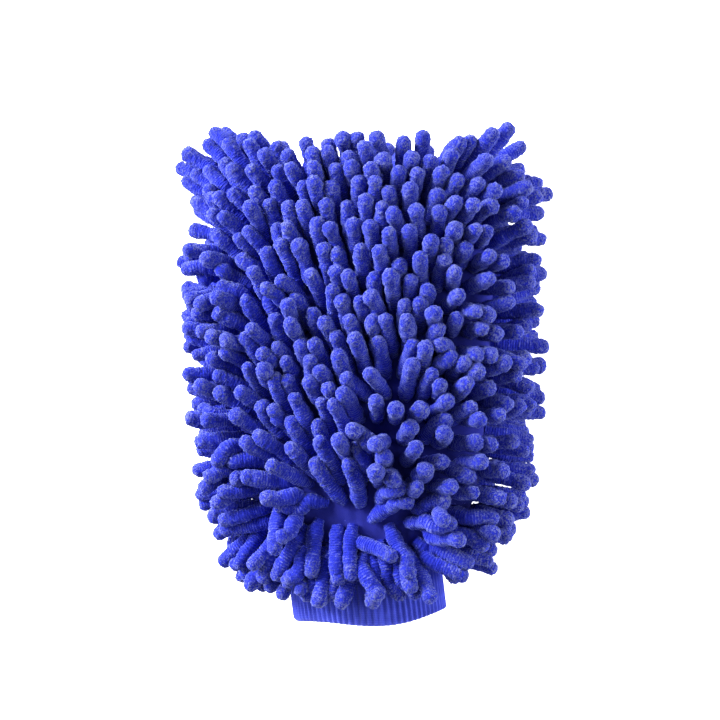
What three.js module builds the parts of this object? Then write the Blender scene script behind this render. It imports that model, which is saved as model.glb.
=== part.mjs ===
// Chenille wash mitt, lying on its back pile with the pocket puffed open.
// Millimetres, +Z up. +Y runs from the knitted cuff to the closed finger end, X runs across the hand.
//
// Two panels of knitted cloth are sewn together round three sides, and each carries rows of soft chenille
// noodles. Inside them is a smaller lining bag for the hand. A folded rib-knit cuff closes on the wrist.
import * as THREE from "three";
import { mergeVertices } from "three/addons/utils/BufferGeometryUtils.js";

// Body, measured over the base cloth and without the pile
const BODY_LENGTH = 204; // cuff seam to finger end
const BODY_WIDTH = 148;
const BODY_THICKNESS = 54; // puffed open
const END_THICKNESS = 9; // what is left of the thickness at the finger end seam
const NECK_LENGTH = 38; // over which the cuff's width opens out to the body's
const SQUARENESS = 2.4; // 2 makes the cross-section an ellipse, more makes it boxier

// Cuff
const CUFF_WIDTH = 88;
const CUFF_THICKNESS = 34;
const CUFF_LENGTH = 38;
const CUFF_DROOP = 5; // how far the free mouth hangs below the seam
const RIB_LAYER = 1.5; // one layer of rib knit
const FOLD_SPACE = 1.5; // between the two layers, where the elastic lies
const ELASTIC_WIDTH = 20;
const ELASTIC_THICKNESS = 0.8;

// Cloth layers and seams
const CLOTH = 1.6;
const LINING = 1.0;
const LAYER_GAP = 0.8; // between the cloth and the lining
const SEAM_ALLOWANCE = 4.6; // width of an overlocked edge
const SEAM_THICKNESS = 2;
const CLEARANCE = 0.4; // between pieces that touch on the real mitt

// Pile
const NOODLE_LENGTH = 29;
const NOODLE_DIAMETER = 8.2;
const NOODLE_TIP = 6.6; // width of the rounded tip, drawn flat here
const NOODLE_PITCH = 10.4; // along a row
const ROW_GAP = 2.8; // from one row's noodles to the next row's, where both stand straight
const ROOT_HEIGHT = 4; // of the yarn that joins the noodles of one row
const ROOT_WIDTH = 4;
const ROOT_GAP = 1.8; // between that yarn and the cloth
const PARTING = 17; // from the cuff seam to the line that the pile is combed away from
const COMB = 0.58; // how far a noodle leans, as a share of how far it stands
const BACK_PILE = 22; // height of the pile that the mitt lies on

const FLOOR = -BODY_THICKNESS / 2 - BACK_PILE; // the mitt is drawn about its own middle plane
const SEAM_RISE = SEAM_THICKNESS / 2 + 2 * CLEARANCE; // of a panel's edge above the middle plane

const ROYAL_BLUE = 0x2a30b4;
const pileMaterial = new THREE.MeshStandardMaterial({ color: ROYAL_BLUE, roughness: 0.95, metalness: 0 });
const clothMaterial = new THREE.MeshStandardMaterial({ color: 0x2329a0, roughness: 0.9, metalness: 0 });
const liningMaterial = new THREE.MeshStandardMaterial({ color: 0x2c3296, roughness: 0.7, metalness: 0 });
const ribMaterial = new THREE.MeshStandardMaterial({ color: 0x232aa6, roughness: 0.85, metalness: 0 });
const threadMaterial = new THREE.MeshStandardMaterial({ color: 0x3238b8, roughness: 0.6, metalness: 0 });
const elasticMaterial = new THREE.MeshStandardMaterial({ color: 0xe6e6e2, roughness: 0.8, metalness: 0 });

// The form is one curve from cuff to finger end whose three coordinates are (distance along Y, half width,
// half thickness). Its insets shrink the form for the layers inside. The first three stations open the neck
// out to the body, the next two are the palm and the fingers, and the last three round off the finger end.
function makeForm(sideInset, faceInset) {
  const halfWidth = BODY_WIDTH / 2 - sideInset;
  const halfThickness = BODY_THICKNESS / 2 - faceInset;
  const cuffWidth = CUFF_WIDTH / 2 - sideInset;
  const cuffThickness = CUFF_THICKNESS / 2 - faceInset;
  const end = BODY_LENGTH - sideInset;
  return new THREE.CatmullRomCurve3([
    new THREE.Vector3(0, cuffWidth, cuffThickness),
    new THREE.Vector3(
      0.4 * NECK_LENGTH,
      0.5 * (cuffWidth + halfWidth) - 2,
      0.6 * cuffThickness + 0.4 * halfThickness,
    ),
    new THREE.Vector3(NECK_LENGTH, halfWidth - 8, halfThickness - 2),
    new THREE.Vector3(0.5 * end, halfWidth - 2, halfThickness),
    new THREE.Vector3(0.78 * end, halfWidth, 0.96 * halfThickness),
    new THREE.Vector3(end - 18, halfWidth - 2, 0.76 * halfThickness),
    new THREE.Vector3(end - 5, halfWidth - 7, 0.42 * halfThickness),
    new THREE.Vector3(end, halfWidth - 12, END_THICKNESS / 2),
  ]);
}

// One face of a form, as a surface: side is 1 for the front, which lies upwards, and -1 for the back.
// u runs from -1 to 1 between the side seams and v from 0 to 1 between cuff and finger end, both evenly.
class Face {
  constructor(form, side) {
    this.form = form;
    this.side = side;
    this.arcs = new Map();
  }

  arc(v) {
    if (!this.arcs.has(v)) {
      const station = this.form.getPointAt(v);
      const points = [];
      for (let i = 0; i <= 24; i++) {
        const turn = ((i / 24) * 2 - 1) * (Math.PI / 2);
        const across = Math.sign(turn) * Math.abs(Math.sin(turn)) ** (2 / SQUARENESS);
        const up = Math.abs(Math.cos(turn)) ** (2 / SQUARENESS);
        const height = SEAM_RISE + (station.z - SEAM_RISE) * up;
        points.push(new THREE.Vector3(station.y * across, station.x, this.side * height));
      }
      this.arcs.set(v, new THREE.CatmullRomCurve3(points));
    }
    return this.arcs.get(v);
  }

  point(u, v) {
    return this.arc(v).getPointAt(THREE.MathUtils.clamp((u + 1) / 2, 0, 1));
  }

  // The point, the way along the row, and the way out of the mitt.
  frame(u, v) {
    const step = 0.01;
    const point = this.point(u, v);
    const along = this.point(Math.min(u + step, 1), v).sub(this.point(Math.max(u - step, -1), v)).normalize();
    const ahead = this.point(u, Math.min(v + step, 1)).sub(this.point(u, Math.max(v - step, 0))).normalize();
    const out = along.clone().cross(ahead).multiplyScalar(this.side).normalize();
    return { point, along, out };
  }
}

const bodyForm = makeForm(0, 0);
const LINING_SIDE_INSET = 2 * SEAM_ALLOWANCE + 2 * CLEARANCE;
const liningForm = makeForm(LINING_SIDE_INSET, CLOTH + LAYER_GAP);

// Moves every vertex of a geometry by place(x, y, z) -> Vector3.
function bend(geometry, place) {
  const position = geometry.getAttribute("position");
  for (let i = 0; i < position.count; i++) {
    const at = place(position.getX(i), position.getY(i), position.getZ(i));
    position.setXYZ(i, at.x, at.y, at.z);
  }
  geometry.deleteAttribute("normal");
  geometry.deleteAttribute("uv");
  const merged = mergeVertices(geometry, 1e-3);
  merged.computeVertexNormals();
  return merged;
}

function named(name, geometry, material) {
  const mesh = new THREE.Mesh(geometry, material);
  mesh.name = name;
  return mesh;
}

// The share of a form's length at which its distance from the cuff seam is y.
function shareAt(form, y) {
  let low = 0;
  let high = 1;
  while (high - low > 1e-4) {
    const middle = (low + high) / 2;
    if (form.getPointAt(middle).x < y) low = middle;
    else high = middle;
  }
  return low;
}

// A cut panel of cloth, bent onto one face of a form. It starts at yStart from the cuff seam.
function clothPanel(name, form, side, thickness, yStart, material) {
  const face = new Face(form, side);
  const vStart = shareAt(form, yStart);
  const slab = new THREE.BoxGeometry(2, 1, 1, 16, 12, 1);
  const geometry = bend(slab, (x, y, z) => {
    const v = vStart + (1 - vStart) * (y + 0.5);
    const { point, out } = face.frame(side * x, v);
    return point.addScaledVector(out, (z - 0.5) * thickness);
  });
  return named(name, geometry, material);
}

// The overlocked edges of two panels, one flat strip round three sides in the middle plane. It runs from
// yStart on one side of the neck, round the finger end, to yStart on the other side.
function overlockedSeam(name, form, outside, inside, yStart) {
  const vStart = shareAt(form, yStart);
  const steps = [0, 0.05, 0.15, 0.37, 0.68, 0.87, 0.94, 0.97, 0.976, 0.982, 0.988, 0.994, 1];
  const vs = steps.map((share) => vStart + (1 - vStart) * share);
  const edge = (inset) => {
    const rim = vs.map((v) => form.getPointAt(v));
    const right = rim.map((s) => new THREE.Vector2(s.y - inset, Math.min(s.x, form.getPointAt(1).x - inset)));
    const left = right.map((p) => new THREE.Vector2(-p.x, p.y)).reverse();
    return [...right, ...left];
  };
  const outline = [...edge(-outside), ...edge(inside).reverse()];
  const geometry = new THREE.ExtrudeGeometry(new THREE.Shape(outline), {
    depth: SEAM_THICKNESS,
    bevelEnabled: false,
  });
  geometry.translate(0, 0, -SEAM_THICKNESS / 2);
  return named(name, bend(geometry, (x, y, z) => new THREE.Vector3(x, y, z)), threadMaterial);
}

// A band that runs round the wrist. The profile holds (depth below the outer face, y) pairs and closes on
// itself. The oval follows the cuff, whose mouth droops.
function wristBand(name, profile, material) {
  const radius = 100; // of the plain lathed ring, before it is drawn in to the oval
  const ring = new THREE.LatheGeometry(
    profile.map(([depth, y]) => new THREE.Vector2(radius - depth, y)),
    36,
  );
  const geometry = bend(ring, (x, y, z) => {
    const depth = radius - Math.hypot(x, z);
    const turn = Math.atan2(x, z);
    const droop = (CUFF_DROOP * Math.max(-y, 0)) / CUFF_LENGTH;
    const width = CUFF_WIDTH / 2 - depth;
    const height = CUFF_THICKNESS / 2 - depth;
    return new THREE.Vector3(width * Math.sin(turn), y, height * Math.cos(turn) - droop);
  });
  return named(name, geometry, material);
}

// The rib-knit tube, folded back inside itself at the mouth so that both raw ends meet at the seam.
function ribCuff() {
  const wall = 2 * RIB_LAYER + FOLD_SPACE;
  const top = -CLEARANCE;
  const fold = -CUFF_LENGTH;
  const profile = [
    [0, top],
    [RIB_LAYER, top],
    [RIB_LAYER, fold + RIB_LAYER],
    [RIB_LAYER + FOLD_SPACE, fold + RIB_LAYER],
    [RIB_LAYER + FOLD_SPACE, top],
    [wall, top],
    [wall, fold + 1],
    [wall - 1, fold],
    [1, fold],
    [0, fold + 1],
    [0, top],
  ];
  return wristBand("rib_cuff", profile, ribMaterial);
}

function flatBand(name, depth, thickness, yLow, yHigh, material) {
  const profile = [
    [depth, yHigh],
    [depth + thickness, yHigh],
    [depth + thickness, yLow],
    [depth, yLow],
    [depth, yHigh],
  ];
  return wristBand(name, profile, material);
}

// One row of pile in the flat, from s = 0 to length: a strip of root yarn with count noodles standing on it.
// A noodle's outline has six corners, and it shares the root corners on each side with its neighbours.
// place(s, height, side, noodle) -> Vector3 puts each corner in the mitt; noodle is null on the root yarn.
function combGeometry(length, count, place) {
  const pitch = length / count;
  const corners = [];
  const index = [];
  const corner = (s, height, noodle) => {
    for (const side of [-0.5, 0.5]) corners.push(place(s, height, side, noodle));
    return corners.length - 2;
  };
  const wall = (p, q) => index.push(p, q, q + 1, p, q + 1, p + 1);
  const faces = (p, q, r) => index.push(p + 1, q + 1, r + 1, p, r, q);

  const rootAt = (k) => THREE.MathUtils.clamp(k * pitch, CLEARANCE, length - CLEARANCE);
  let bottom = corner(rootAt(0), 0, null);
  let top = corner(rootAt(0), ROOT_HEIGHT, null);
  wall(top, bottom);
  for (let k = 0; k < count; k++) {
    const middle = (k + 0.5) * pitch;
    const tipLeft = corner(middle - NOODLE_TIP / 2, NOODLE_LENGTH, middle);
    const tipRight = corner(middle + NOODLE_TIP / 2, NOODLE_LENGTH, middle);
    const nextBottom = corner(rootAt(k + 1), 0, null);
    const nextTop = corner(rootAt(k + 1), ROOT_HEIGHT, null);
    wall(bottom, nextBottom);
    wall(nextTop, tipRight);
    wall(tipRight, tipLeft);
    wall(tipLeft, top);
    faces(top, bottom, nextBottom);
    faces(top, nextBottom, nextTop);
    faces(top, nextTop, tipRight);
    faces(top, tipRight, tipLeft);
    bottom = nextBottom;
    top = nextTop;
  }
  wall(bottom, top);
  const geometry = new THREE.BufferGeometry().setFromPoints(corners);
  geometry.setIndex(index);
  geometry.computeVertexNormals();
  return geometry;
}

// The way a noodle points: out of the cloth, and combed away from the middle of the parting.
function noodleWay({ point, out }) {
  const away = new THREE.Vector3(point.x, point.y - PARTING, 0).normalize();
  return out.clone().addScaledVector(away, COMB).normalize();
}

// A row of noodles, wrapped over one face at v. What would pass through the floor is pressed flat on it.
function noodleRow(name, face, v) {
  const length = face.arc(v).getLength();
  const count = Math.round(length / NOODLE_PITCH);
  const geometry = combGeometry(length, count, (s, height, side, noodle) => {
    const middle = noodle ?? s;
    const frame = face.frame((2 * middle) / length - 1, v);
    const way = noodle === null ? frame.out : noodleWay(frame);
    const thick = frame.along.clone().cross(way).normalize();
    const wide = way.clone().cross(thick);
    const at = frame.point
      .addScaledVector(frame.out, ROOT_GAP)
      .addScaledVector(way, height)
      .addScaledVector(wide, s - middle)
      .addScaledVector(thick, side * (noodle === null ? ROOT_WIDTH : NOODLE_DIAMETER));
    at.z = Math.max(at.z, FLOOR);
    return at;
  });
  return named(name, geometry, pileMaterial);
}

function pile(side, prefix) {
  const face = new Face(bodyForm, side);
  const rows = new THREE.Group();
  const count = Math.floor(bodyForm.getLength() / (NOODLE_DIAMETER + ROW_GAP));
  for (let i = 0; i < count; i++) {
    const number = String(i + 1).padStart(2, "0");
    rows.add(noodleRow(`${prefix}_row_${number}`, face, (i + 0.5) / count));
  }
  return rows;
}

const mitt = new THREE.Group();

const cuffSeamEnd = CLEARANCE + SEAM_ALLOWANCE;
const liningStart = cuffSeamEnd + 2 * CLEARANCE;
const seamStart = liningStart + SEAM_THICKNESS;
mitt.add(clothPanel("front_cloth", bodyForm, 1, CLOTH, 0, clothMaterial));
mitt.add(clothPanel("back_cloth", bodyForm, -1, CLOTH, 0, clothMaterial));
mitt.add(clothPanel("front_lining", liningForm, 1, LINING, liningStart, liningMaterial));
mitt.add(clothPanel("back_lining", liningForm, -1, LINING, liningStart, liningMaterial));
mitt.add(overlockedSeam("body_seam", bodyForm, -CLEARANCE, SEAM_ALLOWANCE, seamStart));
mitt.add(overlockedSeam("lining_seam", liningForm, SEAM_ALLOWANCE - CLEARANCE, CLEARANCE, seamStart));

const elasticDepth = RIB_LAYER + (FOLD_SPACE - ELASTIC_THICKNESS) / 2;
mitt.add(ribCuff());
mitt.add(flatBand("cuff_elastic", elasticDepth, ELASTIC_THICKNESS, -4 - ELASTIC_WIDTH, -4, elasticMaterial));
mitt.add(flatBand("cuff_seam", CLOTH + CLEARANCE, SEAM_THICKNESS, CLEARANCE, cuffSeamEnd, threadMaterial));

mitt.add(pile(1, "front"));
mitt.add(pile(-1, "back"));

// The origin goes under the middle of the mitt, on the surface that it lies on.
const box = new THREE.Box3().setFromObject(mitt);
const centre = box.getCenter(new THREE.Vector3());
mitt.position.set(-centre.x, -centre.y, -box.min.z);

export default mitt;
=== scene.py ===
"""A chenille wash mitt: a lined pocket of knit, covered in rows of fat yarn noodles, with a rib cuff."""

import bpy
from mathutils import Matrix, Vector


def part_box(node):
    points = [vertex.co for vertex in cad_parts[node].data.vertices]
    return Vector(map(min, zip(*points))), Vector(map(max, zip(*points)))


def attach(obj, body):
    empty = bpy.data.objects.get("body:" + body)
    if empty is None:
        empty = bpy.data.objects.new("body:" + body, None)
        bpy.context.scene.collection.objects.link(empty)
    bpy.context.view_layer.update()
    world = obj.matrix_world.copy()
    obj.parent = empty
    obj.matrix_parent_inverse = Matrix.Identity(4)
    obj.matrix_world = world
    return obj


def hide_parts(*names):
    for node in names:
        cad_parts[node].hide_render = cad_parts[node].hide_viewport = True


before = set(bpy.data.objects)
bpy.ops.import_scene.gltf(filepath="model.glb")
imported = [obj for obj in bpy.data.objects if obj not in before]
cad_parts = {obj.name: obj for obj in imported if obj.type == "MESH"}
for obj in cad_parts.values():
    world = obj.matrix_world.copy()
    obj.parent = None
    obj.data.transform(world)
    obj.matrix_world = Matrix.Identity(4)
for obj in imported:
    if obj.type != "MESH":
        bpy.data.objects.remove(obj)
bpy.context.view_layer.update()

import math

import bpy
import numpy as np

# Pocket lining
# The lining is a bag of thin warp knit, the smooth layer that the hand feels. Its two halves are cut
# smaller than the outer panels, overlocked round three sides, and caught in the cuff seam at the mouth.
MM = 0.001
front_low, front_high = (np.array(corner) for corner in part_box("front_cloth"))
back_high = np.array(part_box("back_cloth")[1])
MIDDLE = (front_low[2] + back_high[2]) / 2  # height of the plane in which front and back meet
SEAM_RISE = front_low[2] - MIDDLE
SEAM_Y = front_low[1]  # where the body joins the cuff
BODY_LENGTH = front_high[1] - front_low[1]
HALF_WIDTH = front_high[0]
HALF_THICKNESS = front_high[2] - MIDDLE
SQUARENESS = 2.4  # of the cross-section; 2 is an ellipse
CLOTH = 1.6 * MM
LINING = 1.0 * MM
LAYER_GAP = 0.8 * MM  # between the base cloth and the lining
SEAM_ALLOWANCE = 4.6 * MM
LINING_INSET = 10 * MM  # of the lining bag's edge, inside the edge of the body

# (share of the length, share of the half width, share of the half thickness) from cuff to finger end
BODY_STATIONS = (
    (0.000, 0.59, 0.63),
    (0.075, 0.77, 0.78),
    (0.186, 0.89, 0.93),
    (0.500, 0.97, 1.00),
    (0.780, 1.00, 0.96),
    (0.912, 0.97, 0.76),
    (0.975, 0.91, 0.42),
    (1.000, 0.84, 0.17),
)


def smooth_line(points, count):
    """count points, evenly spaced along a smooth curve through the given ones."""
    p = np.asarray(points, float)
    p = np.vstack([2 * p[0] - p[1], p, 2 * p[-1] - p[-2]])
    t = np.linspace(0, 1, 16, endpoint=False)[:, None]
    a, b, c, d = p[:-3, None], p[1:-2, None], p[2:-1, None], p[3:, None]
    fine = 0.5 * (2 * b + (c - a) * t + (2 * a - 5 * b + 4 * c - d) * t**2 + (3 * b - a - 3 * c + d) * t**3)
    fine = np.vstack([fine.reshape(-1, p.shape[1]), p[-2]])
    run = np.r_[0, np.cumsum(np.linalg.norm(np.diff(fine, axis=0), axis=1))]
    even = np.linspace(0, run[-1], count)
    return np.stack([np.interp(even, run, axis) for axis in fine.T], 1)


def body_line(side_inset=0.0, face_inset=0.0, count=181):
    """The form from cuff to finger end, as rows of (distance from the cuff, half width, half thickness)."""
    share = np.array(BODY_STATIONS)
    station = share * [BODY_LENGTH - side_inset, HALF_WIDTH, HALF_THICKNESS]
    return smooth_line(station - [0, side_inset, face_inset], count)


def pocket_face(side_inset=0.0, face_inset=0.0, along=181, across=161, rise=SEAM_RISE):
    """The upper face of the form as a grid of points (along, across, 3), even both ways. rise is its edge's
    height over the middle plane."""
    turn = np.linspace(-math.pi / 2, math.pi / 2, 61)
    sweep = np.sign(turn) * np.abs(np.sin(turn)) ** (2 / SQUARENESS)
    crown = np.abs(np.cos(turn)) ** (2 / SQUARENESS)
    grid = []
    for y, width, thickness in body_line(side_inset, face_inset, along):
        height = rise + (thickness - rise) * crown
        section = np.stack([width * sweep, np.full_like(sweep, SEAM_Y + y), MIDDLE + height], 1)
        grid.append(smooth_line(section, across))
    return np.array(grid)


def outward(grid):
    """The unit normals of a grid whose second side runs along +X and whose first runs along +Y."""
    normal = np.cross(np.gradient(grid, axis=1), np.gradient(grid, axis=0))
    return normal / np.linalg.norm(normal, axis=-1, keepdims=True)


def mesh_piece(name, points, faces, uv=None):
    """A mesh object in place, with smooth shading. uv holds one (u, v) for each point."""
    mesh = bpy.data.meshes.new(name)
    mesh.from_pydata(np.asarray(points).tolist(), [], np.asarray(faces).tolist())
    mesh.shade_smooth()
    if uv is not None:
        layer = mesh.uv_layers.new(name="cloth")
        corner = np.zeros(len(mesh.loops), np.int32)
        mesh.loops.foreach_get("vertex_index", corner)
        layer.data.foreach_set("uv", np.asarray(uv, np.float32)[corner].ravel())
    made = bpy.data.objects.new(name, mesh)
    bpy.context.scene.collection.objects.link(made)
    return made


def cloth_panel(name, grid, thickness, side):
    """A closed sheet with its outer skin on a face's grid. side is 1 for the front and -1 for the back."""
    skins = np.stack([grid, grid - outward(grid) * thickness])
    skins[..., 2] = skins[..., 2].clip(MIDDLE + 0.1 * MM)
    rows, cols = grid.shape[:2]
    skins[..., 2] = MIDDLE + side * (skins[..., 2] - MIDDLE)
    index = np.arange(rows * cols).reshape(rows, cols)
    quads = np.stack([index[:-1, :-1], index[:-1, 1:], index[1:, 1:], index[1:, :-1]], -1).reshape(-1, 4)
    rim = np.concatenate([index[0], index[1:, -1], index[-1, -2::-1], index[-2:0:-1, 0]])
    ahead = np.roll(rim, -1)
    edge = np.stack([rim, rim + rows * cols, ahead + rows * cols, ahead], 1)
    faces = np.concatenate([quads, quads[:, ::-1] + rows * cols, edge])
    if side < 0:
        faces = faces[:, ::-1]
    length = np.linalg.norm(np.diff(grid[:, cols // 2], axis=0), axis=1).sum()
    u, v = np.meshgrid(grid[rows // 2, :, 0], np.linspace(0, length, rows))
    uv = np.tile(np.stack([u, v], -1).reshape(-1, 2), (2, 1))
    return mesh_piece(name, skins.reshape(-1, 3), faces, uv)


def ripples(grid, reach, waves, seed):
    """Soft gathers that run out of the cuff seam and die away over reach, from 0 to 1 on a face's grid."""
    rng = np.random.default_rng(seed)
    v = (grid[..., 1] - SEAM_Y) / reach
    u = np.linspace(0, 2 * math.pi * waves, grid.shape[1])
    fold = np.sin(u + 2 * np.sin(u / 3 + rng.uniform(0, 6)) + rng.uniform(0, 6))
    return (0.5 + 0.5 * fold) * np.exp(-v.clip(0))


def add(tree, kind, values=None, **settings):
    """A new node. values maps an input's name or number to a value, or to the socket that feeds it."""
    made = tree.nodes.new(kind)
    for key, value in settings.items():
        setattr(made, key, value)
    for key, value in (values or {}).items():
        if isinstance(value, bpy.types.NodeSocket):
            tree.links.new(value, made.inputs[key])
        else:
            made.inputs[key].default_value = value
    return made


def sum_of(tree, operation, *values, clamp=False):
    """The output of a Math node."""
    made = add(tree, "ShaderNodeMath", dict(enumerate(values)), operation=operation, use_clamp=clamp)
    return made.outputs[0]


def effect(name, sizes, outputs):
    """An empty shader node group. Returns the group, its input node and its output node."""
    group = bpy.data.node_groups.new(name, "ShaderNodeTree")
    group.interface.new_socket("Vector", in_out="INPUT", socket_type="NodeSocketVector")
    for label, value in sizes.items():
        size = group.interface.new_socket(label, in_out="INPUT", socket_type="NodeSocketFloat")
        size.default_value = value
    for label in outputs:
        group.interface.new_socket(label, in_out="OUTPUT", socket_type="NodeSocketFloat")
    return group, group.nodes.new("NodeGroupInput"), group.nodes.new("NodeGroupOutput")


def knit_effect():
    """Plain knitted cloth seen from its smooth side: columns of V-shaped stitches, on a map in metres."""
    group, given, result = effect("Knit stitches", {"Wale": 1.0 * MM, "Course": 0.8 * MM}, ["Height"])
    apart = add(group, "ShaderNodeSeparateXYZ", {0: given.outputs["Vector"]})
    across = sum_of(group, "DIVIDE", apart.outputs["X"], given.outputs["Wale"])
    along = sum_of(group, "DIVIDE", apart.outputs["Y"], given.outputs["Course"])
    off = sum_of(group, "ABSOLUTE", sum_of(group, "SUBTRACT", sum_of(group, "FRACT", across), 0.5))
    slant = sum_of(group, "MULTIPLY_ADD", off, 1.3, along)
    wave = sum_of(group, "SINE", sum_of(group, "MULTIPLY", slant, 2 * math.pi))
    yarn = sum_of(group, "MULTIPLY_ADD", wave, 0.5, 0.5)
    leg = sum_of(group, "SINE", sum_of(group, "MULTIPLY", off, 2 * math.pi))
    group.links.new(sum_of(group, "MULTIPLY", yarn, leg, clamp=True), result.inputs["Height"])
    return group


def fluff_effect():
    """Short raised fibres: small curled tufts over a coarser unevenness, on a vector in metres."""
    group, given, result = effect("Fluff", {"Tuft": 1.0 * MM, "Clump": 6 * MM}, ["Height", "Clumps"])
    vector = given.outputs["Vector"]
    scale = sum_of(group, "DIVIDE", 1.0, given.outputs["Tuft"])
    curl = add(group, "ShaderNodeTexNoise", {
        "Vector": vector, "Scale": scale, "Detail": 2.0, "Distortion": 1.2,
    })
    coarse = add(group, "ShaderNodeTexNoise", {
        "Vector": vector, "Scale": sum_of(group, "DIVIDE", 1.0, given.outputs["Clump"]), "Detail": 1.0,
    })
    for label, noise in (("Height", curl), ("Clumps", coarse)):
        spread = add(group, "ShaderNodeMapRange", {0: noise.outputs["Fac"], 1: 0.3, 2: 0.7})
        group.links.new(spread.outputs[0], result.inputs[label])
    return group


KNIT = knit_effect()
FLUFF = fluff_effect()


def new_cloth(name, roughness, sheen, tint=(0.55, 0.6, 1.0)):
    """A cloth's material, with its roughness and sheen set. Returns the material, tree and shader."""
    material = bpy.data.materials.new(name)
    material.use_nodes = True
    shader = material.node_tree.nodes["Principled BSDF"]
    shader.inputs["Roughness"].default_value = roughness
    shader.inputs["Specular IOR Level"].default_value = 0.08
    shader.inputs["Sheen Weight"].default_value = sheen
    shader.inputs["Sheen Roughness"].default_value = 0.5
    shader.inputs["Sheen Tint"].default_value = (*tint, 1)
    return material, material.node_tree, shader


def colour_between(tree, mask, low, high):
    """The mix of two colours by a mask."""
    mix = add(tree, "ShaderNodeMix", {0: mask}, data_type="RGBA")
    mix.inputs[6].default_value = (*low, 1)
    mix.inputs[7].default_value = (*high, 1)
    return mix.outputs[2]


def knitted(name, wale, course, low, high, depth, roughness=0.85, sheen=0.3):
    """A knitted cloth on its own map: stitches in the relief, and painted shade darkening their hollows."""
    material, tree, shader = new_cloth(name, roughness, sheen)
    place = add(tree, "ShaderNodeTexCoord")
    knit = add(tree, "ShaderNodeGroup", node_tree=KNIT)
    tree.links.new(place.outputs["UV"], knit.inputs["Vector"])
    knit.inputs["Wale"].default_value = wale
    knit.inputs["Course"].default_value = course
    fluff = add(tree, "ShaderNodeGroup", node_tree=FLUFF)
    tree.links.new(place.outputs["Object"], fluff.inputs["Vector"])
    fluff.inputs["Tuft"].default_value = 0.35 * MM
    height = sum_of(tree, "MULTIPLY_ADD", fluff.outputs["Height"], 0.35, knit.outputs["Height"])
    # Painted shade: the colour runs from low to high with the stitch and fibre relief, darker in its hollows,
    # plus a random unevenness of tone.
    relief = sum_of(tree, "MULTIPLY", height, 0.55)
    shade = sum_of(tree, "MULTIPLY_ADD", fluff.outputs["Clumps"], 0.3, relief)
    tree.links.new(colour_between(tree, shade, low, high), shader.inputs["Base Color"])
    bump = add(tree, "ShaderNodeBump", {"Height": height, "Strength": 0.8, "Distance": depth})
    tree.links.new(bump.outputs[0], shader.inputs["Normal"])
    return material


def finish_piece(piece, material, slot, *nodes):
    """Gives a finished piece its material, its body, and the CAD nodes that it stands for. slot is not used.
    """
    piece.data.materials.clear()
    piece.data.materials.append(material)
    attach(piece, "root")
    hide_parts(*nodes)


LINING_BLUES = (0.012, 0.016, 0.16), (0.05, 0.06, 0.38)
lining_knit = knitted("Lining knit", 0.7 * MM, 0.6 * MM, *LINING_BLUES, 0.2 * MM, 0.6)
lining_grid = pocket_face(LINING_INSET, CLOTH + LAYER_GAP, 91, 81)[5:]
LINING_WRINKLE = 0.7 * MM
for label, side in (("front", 1), ("back", -1)):
    crease = ripples(lining_grid, 30 * MM, 11, 3 + side)[..., None] * LINING_WRINKLE
    creased = lining_grid - outward(lining_grid) * crease
    lining = cloth_panel(f"{label}_lining_bag", creased, LINING, side)
    finish_piece(lining, lining_knit, "lining", f"{label}_lining")

# Base cloth
# Two panels of plain microfibre knit carry the pile. They are gathered at the neck to fit the cuff, and the
# knit shows only along the parting, where the noodles fall away to both sides.
BASE_BLUES = (0.008, 0.012, 0.2), (0.03, 0.036, 0.4)
CLOTH_GAP = 0.15 * MM  # of each panel's edge from the middle plane
END_CLOSING = ((-2, 0.8), (-1, 0.03))  # the share of their height that the last two rows of points keep
GATHER = 1.3 * MM
base_knit = knitted("Base knit", 0.8 * MM, 0.65 * MM, *BASE_BLUES, 0.3 * MM, sheen=0.1)
cloth_grid = pocket_face(along=111, across=101, rise=CLOTH_GAP)
for row, share in END_CLOSING:
    cloth_grid[row, :, 2] = MIDDLE + (cloth_grid[row, :, 2] - MIDDLE) * share
for label, side in (("front", 1), ("back", -1)):
    gather = ripples(cloth_grid, 16 * MM, 13, 8 + side)[..., None] * GATHER
    gathered = cloth_grid - outward(cloth_grid) * gather
    cloth = cloth_panel(f"{label}_base_cloth", gathered, CLOTH, side)
    finish_piece(cloth, base_knit, "cloth", f"{label}_cloth")

# Overlocked seams
# The panels' raw edges are pressed flat together and wrapped in overlock thread, on the inside. One seam
# joins the body panels, one the lining, and one joins both to the cuff.
SEAM_THICKNESS = 1.6 * MM
STITCH_PITCH = 2.1 * MM
THREAD = 0.28 * MM


def tree_socket(tree, label, kind, value=None):
    """A named input of a Geometry Nodes tree. Returns its identifier, by which a modifier is set."""
    socket = tree.interface.new_socket(label, in_out="INPUT", socket_type=f"NodeSocket{kind}")
    if value is not None:
        socket.default_value = value
    return socket.identifier


def grow(piece, tree, given):
    """Runs a tree on a piece and keeps the result as its plain mesh. given maps identifiers to values."""
    modifier = piece.modifiers.new("grow", "NODES")
    modifier.node_group = tree
    for identifier, value in given.items():
        modifier[identifier] = value
    scene_now = bpy.context.evaluated_depsgraph_get()
    mesh = bpy.data.meshes.new_from_object(
        piece.evaluated_get(scene_now), preserve_all_data_layers=True, depsgraph=scene_now
    )
    piece.modifiers.remove(modifier)
    raw, piece.data = piece.data, mesh
    bpy.data.meshes.remove(raw)
    mesh.name = piece.name


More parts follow.
